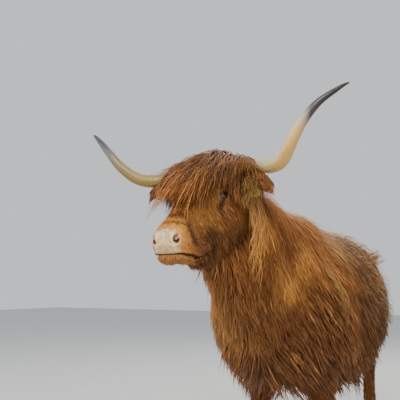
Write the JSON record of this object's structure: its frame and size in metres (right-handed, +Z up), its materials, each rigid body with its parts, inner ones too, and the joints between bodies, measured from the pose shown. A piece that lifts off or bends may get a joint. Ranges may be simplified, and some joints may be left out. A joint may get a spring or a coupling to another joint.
{
  "type": "highland cow",
  "caption": "Life-size still Highland cow standing on four cloven feet: long shaggy red coat, forelock over the eyes, wide upswept horns and an ear tag.",
  "frame": {"origin": "on the floor, under the middle of the model's bounding box", "axes": "+Y runs from head to tail, +X is the cow's left side, +Z is up"},
  "size_m": [1.102, 2.1614, 1.4722],
  "materials": {
    "coat": "long wavy hair, red gold",
    "dark_coat": "long hair, darker brown",
    "horn": "smooth keratin, cream to dark tip",
    "hoof": "dull dark keratin",
    "eye": "wet dark eye",
    "udder_skin": "pale soft skin",
    "tag_plastic": "plain yellow ear tag"
  },
  "bodies": {
    "root": {"head": "coat", "jaw": "coat", "eye_left": "eye", "eye_right": "eye", "horn_left": "horn", "horn_right": "horn", "ear_tag": "tag_plastic", "ear_left": "coat", "ear_right": "coat", "trunk": "coat", "neck": "coat", "forelock": "dark_coat", "claw_fl_inner": "hoof", "dewclaw_fl_inner": "hoof", "claw_fl_outer": "hoof", "dewclaw_fl_outer": "hoof", "leg_fl": "coat", "claw_fr_inner": "hoof", "dewclaw_fr_inner": "hoof", "claw_fr_outer": "hoof", "dewclaw_fr_outer": "hoof", "leg_fr": "coat", "claw_hl_inner": "hoof", "dewclaw_hl_inner": "hoof", "claw_hl_outer": "hoof", "dewclaw_hl_outer": "hoof", "leg_hl": "coat", "claw_hr_inner": "hoof", "dewclaw_hr_inner": "hoof", "claw_hr_outer": "hoof", "dewclaw_hr_outer": "hoof", "leg_hr": "coat", "tail": "coat", "tail_switch": "dark_coat", "udder": "udder_skin"}
  },
  "joints": []
}
